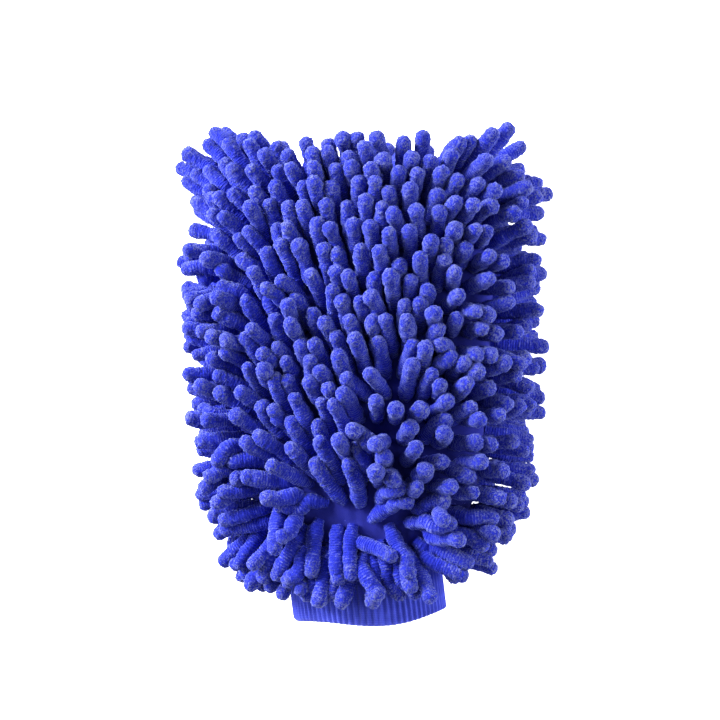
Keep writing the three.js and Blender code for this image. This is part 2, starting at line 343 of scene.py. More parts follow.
def overlock_tree():
    """A flat strip along a path, with loops of thread round it at an even pitch."""
    tree = bpy.data.node_groups.new("Overlocked edge", "GeometryNodeTree")
    tree.interface.new_socket("Geometry", in_out="OUTPUT", socket_type="NodeSocketGeometry")
    sockets = {"Path": tree_socket(tree, "Path", "Geometry")}
    for label in ("Width", "Thickness", "Pitch", "Thread"):
        sockets[label] = tree_socket(tree, label, "Float", MM)
    sockets["Material"] = tree_socket(tree, "Material", "Material")
    given = tree.nodes.new("NodeGroupInput").outputs
    result = tree.nodes.new("NodeGroupOutput")
    path = add(tree, "GeometryNodeMeshToCurve", {0: given["Path"]}).outputs[0]
    edge = add(tree, "GeometryNodeCurvePrimitiveQuadrilateral", {0: given["Width"], 1: given["Thickness"]})
    strip = add(tree, "GeometryNodeCurveToMesh", {
        "Curve": path, "Profile Curve": edge.outputs[0], "Fill Caps": True,
    })
    even = {"Curve": path, "Length": given["Pitch"]}
    stitch = add(tree, "GeometryNodeResampleCurve", even, mode="LENGTH")
    loop_size = [sum_of(tree, "ADD", given[label], given["Thread"]) for label in ("Width", "Thickness")]
    loop = add(tree, "GeometryNodeCurvePrimitiveQuadrilateral", {0: loop_size[0], 1: loop_size[1]})
    bend = sum_of(tree, "MULTIPLY", loop_size[1], 0.4)
    soft = add(tree, "GeometryNodeFilletCurve", {0: loop.outputs[0], "Radius": bend})
    soft.mode = "POLY"
    soft.inputs["Count"].default_value = 2
    yarn = add(tree, "GeometryNodeCurvePrimitiveCircle", {"Resolution": 6, "Radius": given["Thread"]})
    wrap = add(tree, "GeometryNodeCurveToMesh", {
        "Curve": soft.outputs[0], "Profile Curve": yarn.outputs[0],
    })
    tangent = add(tree, "GeometryNodeInputTangent").outputs[0]
    normal = add(tree, "GeometryNodeInputNormal").outputs[0]
    axes = {0: tangent, 1: normal}
    turn = add(tree, "FunctionNodeAxesToRotation", axes, primary_axis="Z", secondary_axis="X")
    slant = add(tree, "FunctionNodeRotateRotation", {0: turn.outputs[0]}, rotation_space="LOCAL")
    slant.inputs[1].default_value = (0, math.radians(22), 0)
    loops = add(tree, "GeometryNodeInstanceOnPoints", {
        "Points": stitch.outputs[0], "Instance": wrap.outputs[0], "Rotation": slant.outputs[0],
    })
    joined = tree.nodes.new("GeometryNodeJoinGeometry")
    for part in (loops, strip):
        tree.links.new(part.outputs[0], joined.inputs[0])
    real = add(tree, "GeometryNodeRealizeInstances", {0: joined.outputs[0]})
    painted = add(tree, "GeometryNodeSetMaterial", {0: real.outputs[0], "Material": given["Material"]})
    tree.links.new(painted.outputs[0], result.inputs[0])
    return tree, sockets


def path_piece(name, points, closed=False):
    """A line of mesh edges through the points, for a tree to follow."""
    mesh = bpy.data.meshes.new(name)
    edges = [(i, i + 1) for i in range(len(points) - 1)]
    if closed:
        edges.append((len(points) - 1, 0))
    mesh.from_pydata(np.asarray(points).tolist(), edges, [])
    made = bpy.data.objects.new(name, mesh)
    bpy.context.scene.collection.objects.link(made)
    return made


def seam_path(side_inset, middle_of_strip, start):
    """Round three sides of the form in the middle plane, from one side of the neck to the other."""
    line = body_line(side_inset)[start:]
    x = line[:, 1] + middle_of_strip
    y = SEAM_Y + line[:, 0].clip(None, line[-1, 0] + middle_of_strip)
    right = np.stack([x, y, np.full_like(x, MIDDLE)], 1)
    across = np.linspace(1, -1, 40)[1:-1, None] * [x[-1], 0, 0] + [0, y[-1], MIDDLE]
    return smooth_line(np.concatenate([right[::6], across[::4], (right * [-1, 1, 1])[::-6]]), 260)


thread_cloth, tree, shader = new_cloth("Overlock thread", 0.55, 0.4)
place = add(tree, "ShaderNodeTexCoord")
twist = add(tree, "ShaderNodeTexNoise", {"Vector": place.outputs["Object"], "Scale": 2200.0, "Detail": 2.0})
THREAD_BLUES = (0.02, 0.025, 0.25), (0.08, 0.09, 0.6)
thread_colour = colour_between(tree, twist.outputs["Fac"], *THREAD_BLUES)
tree.links.new(thread_colour, shader.inputs["Base Color"])
bump = add(tree, "ShaderNodeBump", {"Height": twist.outputs["Fac"], "Strength": 0.6, "Distance": 0.2 * MM})
tree.links.new(bump.outputs[0], shader.inputs["Normal"])

overlock, overlock_inputs = overlock_tree()
CUFF_SEAM_DEPTH = CLOTH + 1.4 * MM
neck_width, neck_thickness = body_line()[0, 1:] - CUFF_SEAM_DEPTH
ring = np.linspace(0, 2 * math.pi, 120, endpoint=False)
half_allowance = SEAM_ALLOWANCE / 2
neck_ring = np.stack([
    neck_width * np.sin(ring),
    np.full_like(ring, SEAM_Y + half_allowance),
    MIDDLE + neck_thickness * np.cos(ring),
], 1)
for name, points, closed in (
    ("body_seam", seam_path(0, -half_allowance - CLOTH, 9), False),
    ("lining_seam", seam_path(LINING_INSET, half_allowance, 11), False),
    ("cuff_seam", neck_ring, True),
):
    seam = path_piece(f"{name}_overlock", points, closed)
    grow(seam, overlock, {
        overlock_inputs["Width"]: SEAM_ALLOWANCE, overlock_inputs["Thickness"]: SEAM_THICKNESS,
        overlock_inputs["Pitch"]: STITCH_PITCH, overlock_inputs["Thread"]: THREAD,
        overlock_inputs["Material"]: thread_cloth,
    })
    finish_piece(seam, thread_cloth, "thread", name)

# Rib cuff
# A tube of rib knit, folded back inside itself at the mouth, holds a band of woven elastic between its
# layers. Both raw ends are caught in the cuff seam. Its soft mouth droops, sways and waves a little.
cuff_low, cuff_high = (np.array(corner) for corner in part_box("rib_cuff"))
CUFF_HALF_WIDTH = cuff_high[0]
CUFF_TOP = cuff_high[1]
CUFF_LENGTH = cuff_high[1] - cuff_low[1]
CUFF_HALF_THICKNESS = cuff_high[2] - MIDDLE
CUFF_DROOP = 5 * MM
CUFF_SWAY = 3.5 * MM  # to the right, at the mouth
RIB_LAYER = 1.3 * MM
RIB_COUNT = 76
RIB_DEPTH = 0.5 * MM
FOLD_SPACE = 1.7 * MM
MOUTH_WAVE = 4.8 * MM


def wrist_tube(name, profile, around, shape):
    """A closed ring round the wrist. profile is a loop of (depth, y), which shape(turn, depth, y) moves."""
    turn = np.linspace(0, 2 * math.pi, around, endpoint=False)[:, None]
    depth, y = shape(turn, profile[None, :, 0], profile[None, :, 1])
    slack = (-(y - SEAM_Y)).clip(0) / CUFF_LENGTH
    points = np.stack([
        (CUFF_HALF_WIDTH - depth) * np.sin(turn) + CUFF_SWAY * slack,
        y + 0 * turn,
        MIDDLE + (CUFF_HALF_THICKNESS - depth) * np.cos(turn) - CUFF_DROOP * slack,
    ], -1)
    index = np.arange(around * len(profile)).reshape(around, -1)
    on, over = np.roll(index, -1, 0), np.roll(index, -1, 1)
    faces = np.stack([index, over, np.roll(over, -1, 0), on], -1).reshape(-1, 4)
    girth = 2 * math.pi * math.sqrt((CUFF_HALF_WIDTH**2 + CUFF_HALF_THICKNESS**2) / 2)
    run = np.r_[0, np.cumsum(np.linalg.norm(np.diff(profile, axis=0), axis=1))]
    uv = np.stack([np.broadcast_to(turn / (2 * math.pi) * girth, points.shape[:2]),
                   np.broadcast_to(run, points.shape[:2])], -1)
    return mesh_piece(name, points.reshape(-1, 3), faces, uv.reshape(-1, 2))


def folded_profile():
    """The cuff's section: down the outer layer, round the fold, up the inner one, and back inside."""
    radius = (FOLD_SPACE + RIB_LAYER) / 2
    turning = CUFF_TOP - CUFF_LENGTH + radius + RIB_LAYER / 2
    down = np.linspace(CUFF_TOP, turning, 17)[:-1]
    bend = np.linspace(0, math.pi, 9)
    middle = np.concatenate([
        np.stack([np.full_like(down, RIB_LAYER / 2), down], 1),
        np.stack([RIB_LAYER / 2 + radius * (1 - np.cos(bend)), turning - radius * np.sin(bend)], 1),
        np.stack([np.full_like(down, RIB_LAYER / 2 + 2 * radius), down[::-1]], 1),
    ])
    way = np.gradient(middle, axis=0)
    way /= np.linalg.norm(way, axis=1, keepdims=True)
    off = np.stack([way[:, 1], -way[:, 0]], 1) * RIB_LAYER / 2
    both = np.concatenate([middle + off, (middle - off)[::-1]])
    return both, np.concatenate([off, off[::-1]]) / (RIB_LAYER / 2)


cuff_profile, cuff_side = folded_profile()


def ribbed(turn, depth, y):
    """Raises the ribs off the cuff's layers and waves its mouth."""
    rib = np.tanh(2.2 * np.sin(RIB_COUNT * turn + 0.15 * np.sin(3 * turn))) * RIB_DEPTH
    share = ((CUFF_TOP - y) / CUFF_LENGTH).clip(0, 1)
    rib = rib * (1 - 0.85 * share**40)
    across = np.sin(turn)
    wave = 1 - 0.86 * across**2 - 1.06 * across**3
    flute = 1.2 * MM * share * np.sin(4 * turn + 1) * np.cos(turn)
    moved = y + rib * cuff_side[None, :, 1] - MOUTH_WAVE * wave * share**2
    return depth + rib * cuff_side[None, :, 0] - flute, moved


RIB_BLUES = (0.026, 0.04, 0.4), (0.09, 0.12, 0.82)
rib_knit = knitted("Rib knit", 0.9 * MM, 0.8 * MM, *RIB_BLUES, 0.25 * MM, sheen=0.25)
rib_cuff = wrist_tube("rib_cuff_knit", cuff_profile, 6 * RIB_COUNT, ribbed)
finish_piece(rib_cuff, rib_knit, "rib", "rib_cuff")

# Cuff elastic
# A flat band of woven elastic lies between the two layers of the cuff and draws it in on the wrist. Fine
# lengthwise cords of covered rubber give it ridges.
elastic_low, elastic_high = (np.array(corner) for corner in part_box("cuff_elastic"))
ELASTIC_DEPTH = CUFF_HALF_WIDTH - elastic_high[0]
ELASTIC_THICKNESS = 0.8 * MM
ELASTIC_CORDS = 9
elastic_y = np.linspace(elastic_high[1], elastic_low[1], 6 * ELASTIC_CORDS + 1)
ridge = 0.12 * MM * np.cos(np.linspace(0, 2 * math.pi * ELASTIC_CORDS, len(elastic_y)))
elastic_profile = np.concatenate([
    np.stack([ELASTIC_DEPTH - ridge, elastic_y], 1),
    np.stack([ELASTIC_DEPTH + ELASTIC_THICKNESS + ridge, elastic_y], 1)[::-1],
])
ELASTIC_WHITES = (0.6, 0.6, 0.57), (0.86, 0.86, 0.84)
elastic_weave = knitted("Woven elastic", 0.5 * MM, 0.7 * MM, *ELASTIC_WHITES, 0.1 * MM, 0.7, 0.1)
elastic = wrist_tube("cuff_elastic_band", elastic_profile, 144, lambda turn, depth, y: (depth, y))
finish_piece(elastic, elastic_weave, "elastic", "cuff_elastic")

# Chenille pile
# Each panel carries twenty rows of noodles, short fat lengths of microfibre chenille that hang from one
# line of root yarn stitched to the cloth. They are combed away from a parting above the cuff, and lean on
# each other.
ROWS = 20
NOODLE_PITCH = 8.0 * MM
NOODLE_LENGTH = 31 * MM
NOODLE_RADIUS = 4.35 * MM
NOODLE_JOINTS = 7  # points along a noodle while it is laid
FRINGE_ROWS = 2  # rows of the front that hang over the cuff
FRINGE_GAP = 0.02  # between those rows, as a share of the panel's length
PARTING = SEAM_Y + 17 * MM
PARTING_SHARE = 0.08  # its place as a share of the panel's length
rng = np.random.default_rng(21)
face = pocket_face()
face_out = outward(face)


def look_up(grid, u, v):
    """The grid's value at u and v, each from 0 to 1."""
    row, col = v * (grid.shape[0] - 1), u * (grid.shape[1] - 1)
    i = np.minimum(row.astype(int), grid.shape[0] - 2)
    j = np.minimum(col.astype(int), grid.shape[1] - 2)
    s, t = (row - i)[:, None], (col - j)[:, None]
    low = grid[i, j] * (1 - t) + grid[i, j + 1] * t
    high = grid[i + 1, j] * (1 - t) + grid[i + 1, j + 1] * t
    return low * (1 - s) + high * s


def soft_step(x, low, high):
    """0 below low, 1 above high, and smooth between."""
    t = np.clip((x - low) / (high - low), 0, 1)
    return t * t * (3 - 2 * t)


def row_share(side, row):
    """Where a row is stitched, as a share of the panel's length. The front's parting is bare."""
    if side < 0:
        return min(0.016 + row * 0.0524, 0.982)  # half way between the front's rows
    if row < FRINGE_ROWS:
        return (row + 0.25) * FRINGE_GAP
    return 0.095 + (row - FRINGE_ROWS) / (ROWS - 1 - FRINGE_ROWS) * 0.89


side_of, row_of, u_of, v_of = [], [], [], []
for side in (1, -1):
    for row in range(ROWS):
        v = row_share(side, row)
        fringe = side > 0 and row < FRINGE_ROWS
        pitch = NOODLE_PITCH * (0.95 if fringe else 1)
        count = round(np.linalg.norm(np.diff(face[round(v * 180)], axis=0), axis=1).sum() / pitch)
        brick = 0.25 + 0.5 * (row % 2)
        t = (np.arange(count) + brick + rng.uniform(-0.08, 0.08, count)) / count * 2 - 1
        t *= 1.2 - 0.2 * t * t  # closer together round the edge, where the noodles fan apart
        near = 1 - soft_step(abs(v - PARTING_SHARE), 0.03, 0.08)
        bow = (v > PARTING_SHARE) * (side > 0) * 0.035 * t**2 * (1 - soft_step(v, 0.1, 0.4))
        stagger = fringe * 0.008 * (-1.0) ** np.arange(count)
        u_of.append(0.5 + 0.5 * t)
        wander = rng.uniform(-1, 1, count) * (0.003 + 0.01 * near)
        v_of.append((v - bow + stagger + wander).clip(0.004, 0.994))
        side_of.append(np.full(count, side))
        row_of.append(np.full(count, row))
side_of, row_of, u_of, v_of = (np.concatenate(x) for x in (side_of, row_of, u_of, v_of))
flip = np.stack([np.ones(len(side_of)), np.ones(len(side_of)), side_of], 1)
root = (look_up(face, u_of, v_of) - [0, 0, MIDDLE]) * flip + [0, 0, MIDDLE]
out = look_up(face_out, u_of, v_of) * flip
out /= np.linalg.norm(out, axis=1, keepdims=True)


WHORL = (17 * MM, 30 * MM)  # its middle, to the right of the parting's middle and above it
WHORL_REACH = 17 * MM


def comb(root, out, u, v, side, tidy):
    """The way each noodle is combed, before it meets its neighbours: out of the cloth, away from the parting,
    with a whorl of upright ones and a slow swirl. Those at the flanks and corners splay outwards."""
    x, y = root[:, 0], root[:, 1] - PARTING
    left, right = (soft_step(sign * (2 * u - 1), 0.4, 0.9) for sign in (-1, 1))
    flank = left + right
    below = y + rng.normal(0, 3 * MM, len(y)) * np.where(side > 0, 1, 5) < 0
    up = y.clip(6 * MM) * (0.75 + y / (300 * MM))
    down = -30 * MM * (1 + 0.9 * left - 0.7 * right)
    fan = np.where(below, 0.3 + 0.9 * flank + 0.9 * soft_step(x, 0, 14 * MM), 0.65 + 0.5 * flank)
    away = np.stack([(x - 6 * MM) * fan, np.where(below, down, up), 0 * x], 1)
    away /= np.linalg.norm(away, axis=1, keepdims=True)
    away[:, 1] *= 1 - 0.9 * flank * (1 - soft_step(v, 0.72, 0.95)) * ~below
    above = 1.0 + 0.9 * np.exp(-((y / (20 * MM)) ** 2)) - 0.85 * soft_step(v, 0.75, 1)
    lean = np.where(below, 3.6, above)
    whorl = np.exp(-((x - WHORL[0]) ** 2 + (y - WHORL[1]) ** 2) / WHORL_REACH**2)
    lean = lean * (1 - 0.75 * whorl * (side > 0)) * (1 - 0.4 * soft_step(x, -10 * MM, 40 * MM) * ~below)
    swirl = np.stack([
        np.sin(x / (14 * MM) + 1.3) * np.cos(y / (19 * MM)),
        np.sin(x / (17 * MM) - 0.4 + y / (13 * MM)),
        np.zeros_like(x),
    ], 1)
    loose = rng.normal(0, 1, root.shape) * (0.17 - 0.1 * tidy + 0.25 * below + 0.1 * flank)[:, None]
    way = out + away * lean[:, None] + 0.2 * swirl * (1 - 0.7 * tidy)[:, None] + loose
    # The right flank stands up, and the left one falls towards the cuff.
    upright = right * (1 - soft_step(v, 0.8, 0.95)) * soft_step(v, 0.1, 0.4)
    way += np.stack([-0.2 * upright * (side > 0), 0 * x, upright * np.where(side > 0, 0.4, -0.4)], 1)
    way[:, 1] -= 0.7 * left * (1 - soft_step(v, 0.05, 0.42))
    # At the finger end the corners splay, the left one more.
    corner = soft_step(abs(2 * u - 1), 0.15, 1) * soft_step(v, 0.76, 0.93)
    end = (1 - flank) * soft_step(v, 0.84, 0.98)
    way += rng.normal(0, 0.22, root.shape) * (left * corner)[:, None]
    end_x = np.where(x < 0, -1.5, 0.75) * corner
    end_y = np.where(x < 0, 0.95, -0.1) * corner - 0.15 * end
    end_z = np.where(side > 0, 0.65, -0.35) * end + 0.2 * right * side * corner
    way += np.stack([end_x, end_y, end_z], 1)
    way[:, 2] *= 1 - 0.9 * left * corner
    return way


# The rows at the upper right are neat.
tidy = soft_step(root[:, 0] + 0.7 * (root[:, 1] - PARTING), 10 * MM, 110 * MM)
way = comb(root, out, u_of, v_of, side_of, tidy)
# A few noodles fall over the parting: (mm right of its middle, mm above it), and the way each one lies.
for (right_of, over), lies in (
    ((-42, 5), (-0.1, -1, 0.8)),
    ((-31, 5), (0.15, -1, 0.8)),
    ((0, -13), (1, -0.1, 0.5)),
    ((52, -12), (0.2, 0.6, 0.9)),
):
    gap = root[:, :2] - [right_of * MM, PARTING + over * MM]
    way[np.argmin(np.linalg.norm(gap, axis=1) + (side_of < 0))] = lies
way /= np.linalg.norm(way, axis=1, keepdims=True)
corner = soft_step(abs(2 * u_of - 1), 0.5, 0.9) * soft_step(v_of, 0.8, 0.93)
fringe = (root[:, 1] < PARTING) & (side_of > 0)
noodle_length = NOODLE_LENGTH * rng.uniform(0.9, 1.1, len(root))
noodle_length = noodle_length * (1 + np.where(u_of < 0.5, 0.34, 0.1) * corner)
noodle_length *= 1 + 0.1 * fringe
noodle_radius = NOODLE_RADIUS * rng.uniform(0.93, 1.08, len(root))
steps = np.linspace(0, 1, NOODLE_JOINTS)
rest = root[:, None] + way[:, None] * (noodle_length[:, None] * steps)[..., None]
bend = 2.4 * MM * np.where(rng.uniform(0, 1, len(root)) > 0.93, 2.5, 1)
bend = bend * (1 - 0.7 * tidy) * (1 + 0.5 * fringe)
curl = rng.normal(0, 1, (len(root), 1, 3)) * bend[:, None, None]
rest = rest + curl * steps[None, :, None] ** 2
rest[..., 2] -= 3 * MM * steps**2


def crowd(points, cutoff):
    """Pairs of joints of different noodles that are nearer than the cutoff."""
    joint = np.arange(2, NOODLE_JOINTS)
    who = np.repeat(np.arange(len(points)), len(joint))
    p = points[:, 2:].reshape(-1, 3)
    first, second = [], []
    for start in range(0, len(p), 512):
        gap = ((p[start:start + 512, None] - p[None]) ** 2).sum(-1)
        i, j = np.nonzero(gap < cutoff**2)
        i += start
        keep = (j > i) & (who[i] != who[j])
        first.append(i[keep])
        second.append(j[keep])
    return np.concatenate(first), np.concatenate(second)


LAYING_TURNS = 110
LONGEST_PUSH = 2 * MM  # on a joint in one turn
PRESSED = 0.88  # the share of their two radii to which neighbours give way
FLOOR_CLEARANCE = 1.18  # of a noodle's middle line, in radii


def lay_pile(rest, radius, length, turns):
    """Lets the noodles settle: each keeps its length and springs towards its combed line, but gives way to
    its neighbours, the pocket, the cuff and the surface underneath."""
    p = rest.copy()
    joints = NOODLE_JOINTS - 2
    thick = np.repeat(radius, joints)
    spring = 0.25 * (1 - steps) + 0.08
    step = (length / (NOODLE_JOINTS - 1))[:, None]
    line = body_line()
    body_y = SEAM_Y + line[:, 0]
    reach_y = np.r_[SEAM_Y - CUFF_LENGTH, SEAM_Y - 0.01 * MM, body_y, body_y[-1] + 4 * MM]
    reach_x = np.r_[CUFF_HALF_WIDTH, CUFF_HALF_WIDTH, line[:, 1], 0.001 * MM]
    reach_z = np.r_[CUFF_HALF_THICKNESS, CUFF_HALF_THICKNESS, line[:, 2], 0.001 * MM]
    for turn in range(turns):
        p[:, 1:] += (rest - p)[:, 1:] * spring[None, 1:, None]
        p[:, 2:, 2] -= 0.05 * MM
        if turn % 6 == 0:
            first, second = crowd(p, 2.4 * NOODLE_RADIUS)
        flat = p[:, 2:].reshape(-1, 3)
        gap = flat[first] - flat[second]
        far = np.linalg.norm(gap, axis=1) + 1e-9
        press = ((thick[first] + thick[second]) * PRESSED - far).clip(0) * 0.48
        push = gap * (press / far)[:, None]
        moved = np.stack([
            np.bincount(first, push[:, k], len(flat)) - np.bincount(second, push[:, k], len(flat))
            for k in range(3)
        ], 1)
        flat = flat + moved.clip(-LONGEST_PUSH, LONGEST_PUSH)
        wide = np.interp(flat[:, 1], reach_y, reach_x) + 0.75 * thick
        high = np.interp(flat[:, 1], reach_y, reach_z) + 0.75 * thick
        inside = flat[:, 1] < reach_y[-1]
        z = flat[:, 2] - MIDDLE
        level = (np.abs(flat[:, 0]) / wide) ** SQUARENESS + (np.abs(z) / high) ** SQUARENESS
        level = level ** (1 / SQUARENESS)
        swell = np.where(inside & (level < 1), 1 / level.clip(0.55), 1)
        flat[:, 0] *= swell
        flat[:, 2] = MIDDLE + z * swell
        p[:, 2:] = flat.reshape(len(p), joints, 3)
        p[:, 1:, 2] = np.maximum(p[:, 1:, 2], FLOOR_CLEARANCE * radius[:, None])
        for k in range(1, NOODLE_JOINTS):
            reach = p[:, k] - p[:, k - 1]
            p[:, k] = p[:, k - 1] + reach * step / (np.linalg.norm(reach, axis=1, keepdims=True) + 1e-9)
    return p


laid = lay_pile(rest, noodle_radius, noodle_length, LAYING_TURNS)


def noodle_tree():
    """Fat fluffy noodles along lines of edges. The lines carry their radius and their own random number."""
    tree = bpy.data.node_groups.new("Chenille noodles", "GeometryNodeTree")
    tree.interface.new_socket("Geometry", in_out="OUTPUT", socket_type="NodeSocketGeometry")
    sockets = {"Lines": tree_socket(tree, "Lines", "Geometry")}
    for label, value in (("Ring spacing", 0.7), ("Ridge", 0.08), ("Tuft", 1.5), ("Fluff", 0.9)):
        sockets[label] = tree_socket(tree, label, "Float", value * MM)
    sockets["Sides"] = tree_socket(tree, "Sides", "Int", 16)
    sockets["Material"] = tree_socket(tree, "Material", "Material")
    given = tree.nodes.new("NodeGroupInput").outputs
    result = tree.nodes.new("NodeGroupOutput")
    curve = add(tree, "GeometryNodeMeshToCurve", {0: given["Lines"]}).outputs[0]
    curve = add(tree, "GeometryNodeCurveSplineType", {0: curve}, spline_type="CATMULL_ROM").outputs[0]
    rings = {"Curve": curve, "Length": given["Ring spacing"]}
    curve = add(tree, "GeometryNodeResampleCurve", rings, mode="LENGTH")
    place = add(tree, "GeometryNodeSplineParameter")
    whole = add(tree, "GeometryNodeSplineLength").outputs["Length"]
    radius = add(tree, "GeometryNodeInputNamedAttribute", {"Name": "fat"}, data_type="FLOAT").outputs[0]
    own = add(tree, "GeometryNodeInputNamedAttribute", {"Name": "own"}, data_type="FLOAT").outputs[0]
    to_tip = sum_of(tree, "DIVIDE", sum_of(tree, "SUBTRACT", whole, place.outputs["Length"]), radius)
    off = sum_of(tree, "SUBTRACT", 1.0, to_tip, clamp=True)
    square = sum_of(tree, "MULTIPLY", off, off)
    dome = sum_of(tree, "SQRT", sum_of(tree, "SUBTRACT", 1.0, square, clamp=True))
    neck = add(tree, "ShaderNodeMapRange", {0: place.outputs["Length"], 1: 0.0, 2: 7 * MM, 3: 0.75, 4: 1.0})
    neck.interpolation_type = "SMOOTHSTEP"
    shape = sum_of(tree, "MULTIPLY", dome, neck.outputs[0])
    waves = sum_of(tree, "DIVIDE", place.outputs["Length"], 9 * MM)
    drift = add(tree, "ShaderNodeTexNoise", {
        "W": sum_of(tree, "MULTIPLY_ADD", own, 50.0, waves), "Scale": 1.0, "Detail": 0.0,
    }, noise_dimensions="1D")
    bulge = sum_of(tree, "MULTIPLY_ADD", drift.outputs[0], 0.3, 0.83)
    fat = sum_of(tree, "MULTIPLY", radius, sum_of(tree, "MULTIPLY", shape, bulge))
    parity = sum_of(tree, "MULTIPLY", sum_of(tree, "MODULO", place.outputs["Index"], 2.0), 2.0)
    parity = sum_of(tree, "SUBTRACT", parity, 1.0)
    ridge = sum_of(tree, "MULTIPLY", sum_of(tree, "MULTIPLY", parity, given["Ridge"]), shape)
    fat = sum_of(tree, "ADD", fat, ridge)
    for label, value in (("along", place.outputs["Length"]), ("tip", to_tip)):
        curve = add(tree, "GeometryNodeStoreNamedAttribute", {
            "Geometry": curve.outputs[0], "Name": label, "Value": value,
        })
    ring = add(tree, "GeometryNodeCurvePrimitiveCircle", {"Resolution": given["Sides"], "Radius": 1.0})
    tube = add(tree, "GeometryNodeCurveToMesh", {
        "Curve": curve.outputs[0], "Profile Curve": ring.outputs[0], "Scale": fat, "Fill Caps": True,
    })
    spot = add(tree, "GeometryNodeInputPosition").outputs[0]
    shift = add(tree, "ShaderNodeCombineXYZ", {0: own, 1: own})
    stray = add(tree, "ShaderNodeVectorMath", {0: spot, 1: shift.outputs[0]})
    tuft = add(tree, "ShaderNodeTexVoronoi", {
        "Vector": stray.outputs[0], "Scale": sum_of(tree, "DIVIDE", 1.0, given["Tuft"]),
    })
    crest = sum_of(tree, "MULTIPLY_ADD", tuft.outputs["Distance"], -1.3, 1.0, clamp=True)
    # The crest is kept for the chenille's colour, which paints the tufts' hollows darker as painted shade and
    # their crests paler as painted highlight.
    tufted = add(tree, "GeometryNodeStoreNamedAttribute", {
        "Geometry": tube.outputs[0], "Name": "crest", "Value": crest,
    })
    crest = add(tree, "GeometryNodeInputNamedAttribute", {"Name": "crest"}, data_type="FLOAT").outputs[0]
    lift = sum_of(tree, "MULTIPLY", sum_of(tree, "SUBTRACT", crest, 0.5), given["Fluff"])
    normal = add(tree, "GeometryNodeInputNormal").outputs[0]
    move = add(tree, "ShaderNodeVectorMath", {0: normal, "Scale": lift}, operation="SCALE")
    fluffy = add(tree, "GeometryNodeSetPosition", {
        "Geometry": tufted.outputs[0], "Offset": move.outputs[0],
    })
    welded = add(tree, "GeometryNodeMergeByDistance", {0: fluffy.outputs[0], "Distance": 0.004 * MM})
    smooth = add(tree, "GeometryNodeSetShadeSmooth", {0: welded.outputs[0]})
    real = add(tree, "GeometryNodeRealizeInstances", {0: smooth.outputs[0]})
    painted = add(tree, "GeometryNodeSetMaterial", {0: real.outputs[0], "Material": given["Material"]})
    tree.links.new(painted.outputs[0], result.inputs[0])
    return tree, sockets


LOOP_SIZE = 1.0 * MM  # of the microfibre's curled loops
RIDGE_PITCH = 1.4 * MM  # of the rings round a noodle


def chenille():
    """Looped microfibre: curled loops on the crowns, fine ridges round the shafts. Painted shade darkens
    the hollows and roots, and painted highlights pale the raised loops and the tips.
    """
    material, tree, shader = new_cloth("Chenille", 0.9, 0.45, (0.45, 0.55, 1.0))
    shader.inputs["Sheen Roughness"].default_value = 0.25
    place = add(tree, "ShaderNodeTexCoord").outputs["Object"]
    fluff = add(tree, "ShaderNodeGroup", node_tree=FLUFF)
    tree.links.new(place, fluff.inputs["Vector"])
    fluff.inputs["Tuft"].default_value = 1.0 * MM
    fluff.inputs["Clump"].default_value = 9 * MM
    shift = {0: fluff.outputs["Height"], "Scale": 0.6 * MM}
    bent = add(tree, "ShaderNodeVectorMath", shift, operation="SCALE")
    bent = add(tree, "ShaderNodeVectorMath", {0: place, 1: bent.outputs[0]})
    loop = add(tree, "ShaderNodeTexVoronoi", {"Vector": bent.outputs[0], "Scale": 1 / LOOP_SIZE})
    ring = sum_of(tree, "ABSOLUTE", sum_of(tree, "SUBTRACT", loop.outputs["Distance"], 0.36))
    loop = sum_of(tree, "MULTIPLY_ADD", ring, -3.3, 0.9, clamp=True)
    along = add(tree, "ShaderNodeAttribute", attribute_name="along").outputs["Fac"]
    tip = add(tree, "ShaderNodeAttribute", attribute_name="tip").outputs["Fac"]
    crest = add(tree, "ShaderNodeAttribute", attribute_name="crest").outputs["Fac"]
    turns = sum_of(tree, "MULTIPLY", along, 2 * math.pi / RIDGE_PITCH)
    wobble = sum_of(tree, "MULTIPLY_ADD", fluff.outputs["Height"], 2.5, turns)
    ridge = sum_of(tree, "MULTIPLY_ADD", sum_of(tree, "SINE", wobble), 0.36, 0.5)
    shaft = add(tree, "ShaderNodeMapRange", {0: tip, 1: 0.8, 2: 3.5, 3: 0.1, 4: 0.75}).outputs[0]
    height = add(tree, "ShaderNodeMix", {0: shaft, 2: loop, 3: ridge}).outputs[0]
    # Painted light: raised loops and ridges are painted paler than their hollows, and the tips paler than the
    # shafts, which darken towards the roots where the noodles shade each other.
    crown = add(tree, "ShaderNodeMapRange", {0: tip, 1: 0.0, 2: 5.0, 3: 0.18, 4: 0.01}).outputs[0]
    tone_with_painted_light = sum_of(tree, "MULTIPLY_ADD", height, 0.42, crown)
    # Painted shade in the hollows between the mesh's tufts, and painted highlight on their crests.
    tone_with_painted_light = sum_of(tree, "MULTIPLY_ADD", crest, 0.3, tone_with_painted_light)
    tone_with_painted_light = sum_of(tree, "MULTIPLY_ADD", fluff.outputs["Clumps"], 0.12, tone_with_painted_light, clamp=True)
    # The ramp lays painted shade and painted highlight over the yarn's blue: deep blue in the shade, pale
    # whitish blue where light falls.
    dye_and_painted_light = add(tree, "ShaderNodeValToRGB", {0: tone_with_painted_light}).color_ramp.elements
    dye_and_painted_light[0].color = (0.001, 0.006, 0.26, 1)
    dye_and_painted_light[1].color = (0.42, 0.46, 0.76, 1)
    dye_and_painted_light.new(0.5).color = (0.022, 0.033, 0.44, 1)
    tree.links.new(tree.nodes[-1].outputs["Color"], shader.inputs["Base Color"])
    bump = add(tree, "ShaderNodeBump", {"Height": height, "Strength": 1.0, "Distance": 0.8 * MM})
    tree.links.new(bump.outputs[0], shader.inputs["Normal"])
    return material


